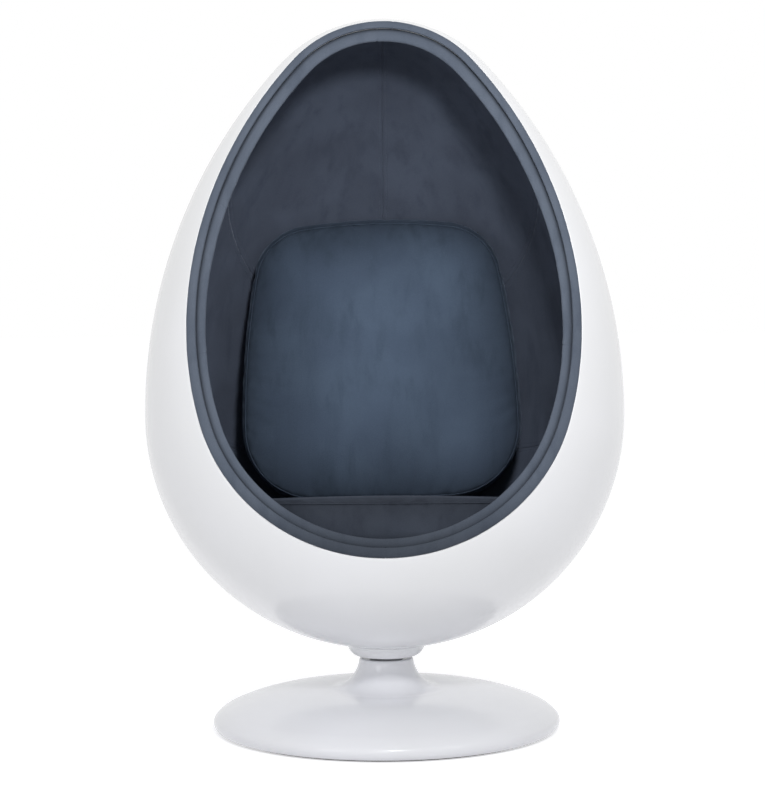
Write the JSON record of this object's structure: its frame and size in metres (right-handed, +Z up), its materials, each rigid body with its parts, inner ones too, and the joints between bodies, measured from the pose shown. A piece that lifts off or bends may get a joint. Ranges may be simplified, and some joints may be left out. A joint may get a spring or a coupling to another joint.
{
  "type": "pod chair",
  "caption": "Egg-shaped lounge chair: glossy moulded shell with a slanted opening, velvet lining, loose cushions and a swivelling trumpet base.",
  "frame": {"origin": "on the floor, at the middle of the base's felt pad, on the swivel axis", "axes": "+Z up along the swivel axis, the opening faces -Y, +X to the right of a viewer who faces the opening"},
  "size_m": [0.85, 0.794, 1.2618],
  "materials": {
    "shell_white": "glossy white gel-coat on moulded glass-fibre laminate",
    "lining_velvet": "short-pile blue-grey velvet",
    "cushion_velvet": "short-pile blue-grey velvet, slightly bluer",
    "trim_velvet": "blue-grey velvet stretched over a soft filler",
    "foam": "cut polyurethane foam",
    "plywood": "birch plywood",
    "steel": "zinc-plated steel",
    "bronze": "sintered bronze",
    "felt": "pressed black felt"
  },
  "bodies": {
    "base": {"floor_pad": "felt", "ballast_plate": "steel", "base_trumpet": "shell_white", "base_screws": "steel", "pedestal_foot": "steel", "pedestal_tube": "steel", "pedestal_bolts": "steel", "lower_bush": "bronze", "upper_bush": "bronze", "bearing_lower_race": "steel", "bearing_rollers": "steel", "bearing_cage": "bronze"},
    "egg": {"bearing_upper_race": "steel", "swivel_hub": "steel", "hub_washer": "steel", "hub_nut": "steel", "collar_cup": "shell_white", "egg_shell": "shell_white", "backing_plate": "steel", "swivel_bolts": "steel", "swivel_nuts": "steel", "seat_deck": "plywood", "deck_cleats": "plywood", "deck_screws": "steel", "foam_left": "foam", "foam_right": "foam", "lining_hood_left": "lining_velvet", "lining_hood_right": "lining_velvet", "lining_side_left": "lining_velvet", "lining_side_right": "lining_velvet", "lining_bowl": "lining_velvet", "rim_band": "trim_velvet", "rim_roll": "trim_velvet", "seat_core": "foam", "seat_cover": "cushion_velvet"},
    "back_cushion": {"back_core": "foam", "back_cover": "cushion_velvet"}
  },
  "joints": [
    {"name": "swivel", "type": "hinge", "parent": "base", "child": "egg", "pos_m": [0, 0, 0.127], "axis": [0, 0, 1], "continuous": true},
    {"name": "back_cushion_out", "type": "slide", "parent": "egg", "child": "back_cushion", "axis": [0, -0.9781, 0.2079], "range_m": [0, 0.58]}
  ]
}
